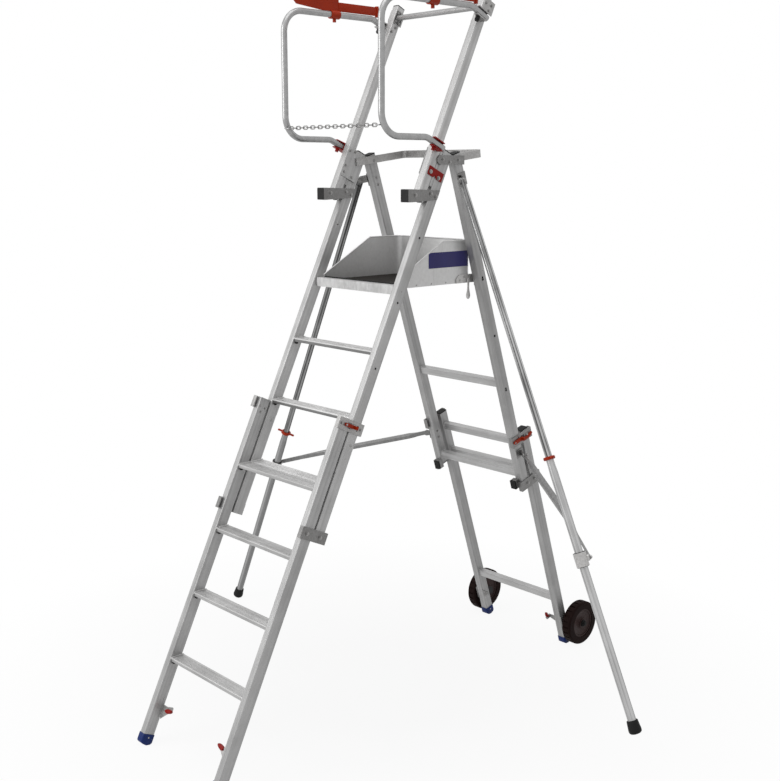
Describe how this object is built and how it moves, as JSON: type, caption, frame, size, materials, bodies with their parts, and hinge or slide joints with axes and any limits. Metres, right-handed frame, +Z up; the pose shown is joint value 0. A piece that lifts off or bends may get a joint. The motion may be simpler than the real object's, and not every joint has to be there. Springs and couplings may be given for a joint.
{
  "type": "rolling work platform",
  "caption": "Telescopic light work platform: step ladder and wheeled rear frame that fold together, guarded deck with toe board, side guard loops, chain and folding stabilisers.",
  "frame": {"origin": "middle of the overall box at floor level", "axes": "+Z up, +Y from the climber's side to the wheels, +X to the climber's right"},
  "size_m": [2.4726, 2.1072, 2.827],
  "materials": {
    "aluminium": "mill finish, lightly brushed",
    "zinc_steel": "zinc plated, satin",
    "bright_tube": "polished tube",
    "red_paint": "semi-gloss paint",
    "black_rubber": "matt",
    "blue_plastic": "moulded, matt",
    "tyre": "moulded rubber",
    "grey_plastic": "moulded, matt",
    "dark_deck": "anti-slip coating"
  },
  "bodies": {
    "ladder": {"upper_stile_left": "aluminium", "upper_stile_right": "aluminium", "upper_treads": "aluminium", "guard_post_left": "aluminium", "guard_post_right": "aluminium", "ladder_guides": "zinc_steel", "post_bumpers": "black_rubber", "ladder_plates": "zinc_steel", "back_rail": "bright_tube", "knee_band": "zinc_steel", "leg_hangers": "zinc_steel", "lower_clevises": "red_paint", "upper_clevises": "zinc_steel"},
    "lower_ladder": {"lower_stile_left": "aluminium", "lower_stile_right": "aluminium", "lower_treads": "aluminium", "front_guides": "zinc_steel", "front_feet": "blue_plastic"},
    "platform": {"deck": "dark_deck", "nosing": "aluminium", "toe_board": "aluminium", "deck_rests": "zinc_steel"},
    "drop_lever": {"drop_lever": "zinc_steel"},
    "rear_frame": {"rear_leg_left": "aluminium", "rear_leg_right": "aluminium", "upper_rails": "aluminium", "rear_guides": "zinc_steel", "rear_plugs": "black_rubber"},
    "rear_base": {"lower_leg_left": "aluminium", "lower_leg_right": "aluminium", "lower_rails": "aluminium", "leg_guides": "zinc_steel", "low_leg_caps": "black_rubber", "rear_feet": "blue_plastic"},
    "guard_left": {"guard_loop_left": "bright_tube", "flap_left": "red_paint", "chain": "zinc_steel"},
    "guard_right": {"guard_loop_right": "bright_tube", "flap_right": "red_paint"},
    "front_lever_left": {"front_lever_left": "red_paint"},
    "leg_lever_left": {"leg_lever_left": "red_paint"},
    "wheel_left": {"tyre_left": "tyre", "hub_left": "grey_plastic"},
    "stab_left": {"stab_tube_left": "bright_tube"},
    "stab_leg_left": {"stab_leg_left": "bright_tube", "stab_foot_left": "black_rubber"},
    "stab_ring_left": {"stab_ring_left": "red_paint"},
    "collar_left": {"collar_left": "zinc_steel"},
    "brace_left": {"brace_left": "zinc_steel"},
    "front_lever_right": {"front_lever_right": "red_paint"},
    "leg_lever_right": {"leg_lever_right": "red_paint"},
    "wheel_right": {"tyre_right": "tyre", "hub_right": "grey_plastic"},
    "stab_right": {"stab_tube_right": "bright_tube"},
    "stab_leg_right": {"stab_leg_right": "bright_tube", "stab_foot_right": "black_rubber"},
    "stab_ring_right": {"stab_ring_right": "red_paint"},
    "collar_right": {"collar_right": "zinc_steel"},
    "brace_right": {"brace_right": "zinc_steel"}
  },
  "joints": [
    {"name": "front_slide", "type": "slide", "parent": "ladder", "child": "lower_ladder", "axis": [0, 0.4305, 0.9026], "range_m": [0, 0.78109]},
    {"name": "rear_fold", "type": "hinge", "parent": "ladder", "child": "rear_frame", "pos_m": [0.0397, 0.14673, 2.191], "axis": [1, 0, 0], "range_deg": [-38, 0]},
    {"name": "platform_tilt", "type": "hinge", "parent": "ladder", "child": "platform", "pos_m": [0.0397, -0.14469, 1.712], "axis": [1, 0, 0], "range_deg": [0, 57]},
    {"name": "rear_slide", "type": "slide", "parent": "rear_frame", "child": "rear_base", "axis": [0, -0.3107, 0.9505], "range_m": [0, 0.7]},
    {"name": "front_lever_right_turn", "type": "hinge", "parent": "lower_ladder", "child": "front_lever_right", "pos_m": [0.2997, -0.42987, 1.24604], "axis": [-1, 0, 0], "range_deg": [0, 35]},
    {"name": "leg_lever_right_turn", "type": "hinge", "parent": "rear_base", "child": "leg_lever_right", "pos_m": [0.2997, 0.50685, 1.02161], "axis": [1, 0, 0], "range_deg": [0, 35]},
    {"name": "wheel_right_spin", "type": "hinge", "parent": "rear_base", "child": "wheel_right", "pos_m": [0.3107, 0.95356, 0.104], "axis": [1, 0, 0], "continuous": true},
    {"name": "guard_right_swing", "type": "hinge", "parent": "ladder", "child": "guard_right", "pos_m": [0.3157, 0.00645, 2.25255], "axis": [0, -0.4305, -0.9026], "range_deg": [0, 70]},
    {"name": "stab_right_swing", "type": "hinge", "parent": "rear_frame", "child": "stab_right", "pos_m": [0.3297, 0.13751, 2.113], "axis": [0.5786, 0.771, 0.2661], "range_deg": [0, 26.82]},
    {"name": "brace_right_turn", "type": "hinge", "parent": "rear_frame", "child": "brace_right", "pos_m": [0.3297, 0.53377, 0.965], "axis": [0.5786, 0.771, 0.2661], "range_deg": [0, 74.89]},
    {"name": "collar_right_slide", "type": "slide", "parent": "stab_right", "child": "collar_right", "axis": [0.4179, 0, -0.9085], "range_m": [0, 0.48379]},
    {"name": "stab_right_extend", "type": "slide", "parent": "stab_right", "child": "stab_leg_right", "axis": [0.4179, 0, -0.9085], "range_m": [0, 0.19]},
    {"name": "stab_ring_right_turn", "type": "hinge", "parent": "stab_leg_right", "child": "stab_ring_right", "pos_m": [0.3297, 0.13751, 2.113], "axis": [0.4179, 0, -0.9085], "range_deg": [0, 60]},
    {"name": "front_lever_left_turn", "type": "hinge", "parent": "lower_ladder", "child": "front_lever_left", "pos_m": [-0.2203, -0.42987, 1.24604], "axis": [-1, 0, 0], "range_deg": [0, 35]},
    {"name": "leg_lever_left_turn", "type": "hinge", "parent": "rear_base", "child": "leg_lever_left", "pos_m": [-0.2203, 0.50685, 1.02161], "axis": [1, 0, 0], "range_deg": [0, 35]},
    {"name": "wheel_left_spin", "type": "hinge", "parent": "rear_base", "child": "wheel_left", "pos_m": [-0.2313, 0.95356, 0.104], "axis": [1, 0, 0], "continuous": true},
    {"name": "guard_left_swing", "type": "hinge", "parent": "ladder", "child": "guard_left", "pos_m": [-0.2363, 0.00645, 2.25255], "axis": [0, 0.4305, 0.9026], "range_deg": [0, 90], "deforming": ["chain"]},
    {"name": "stab_left_swing", "type": "hinge", "parent": "rear_frame", "child": "stab_left", "pos_m": [-0.2503, 0.13751, 2.113], "axis": [0.5786, -0.771, -0.2661], "range_deg": [0, 26.82]},
    {"name": "brace_left_turn", "type": "hinge", "parent": "rear_frame", "child": "brace_left", "pos_m": [-0.2503, 0.53377, 0.965], "axis": [0.5786, -0.771, -0.2661], "range_deg": [0, 74.89]},
    {"name": "collar_left_slide", "type": "slide", "parent": "stab_left", "child": "collar_left", "axis": [-0.4179, 0, -0.9085], "range_m": [0, 0.48379]},
    {"name": "stab_left_extend", "type": "slide", "parent": "stab_left", "child": "stab_leg_left", "axis": [-0.4179, 0, -0.9085], "range_m": [-0.19, 0]},
    {"name": "stab_ring_left_turn", "type": "hinge", "parent": "stab_leg_left", "child": "stab_ring_left", "pos_m": [-0.2503, 0.13751, 2.113], "axis": [-0.4179, 0, -0.9085], "range_deg": [0, 60]},
    {"name": "drop_lever_turn", "type": "hinge", "parent": "platform", "child": "drop_lever", "pos_m": [0.2517, 0.25678, 1.72383], "axis": [1, 0, 0], "range_deg": [-60, 25]}
  ],
  "couplings": [
    {"joint": "platform_tilt", "follows": "rear_fold", "ratio": -1.5},
    {"joint": "brace_right_turn", "follows": "stab_right_swing", "ratio": 2.7923},
    {"joint": "collar_right_slide", "follows": "stab_right_swing", "m_per_rad": 1.0335},
    {"joint": "brace_left_turn", "follows": "stab_left_swing", "ratio": 2.7923},
    {"joint": "collar_left_slide", "follows": "stab_left_swing", "m_per_rad": 1.0335}
  ]
}
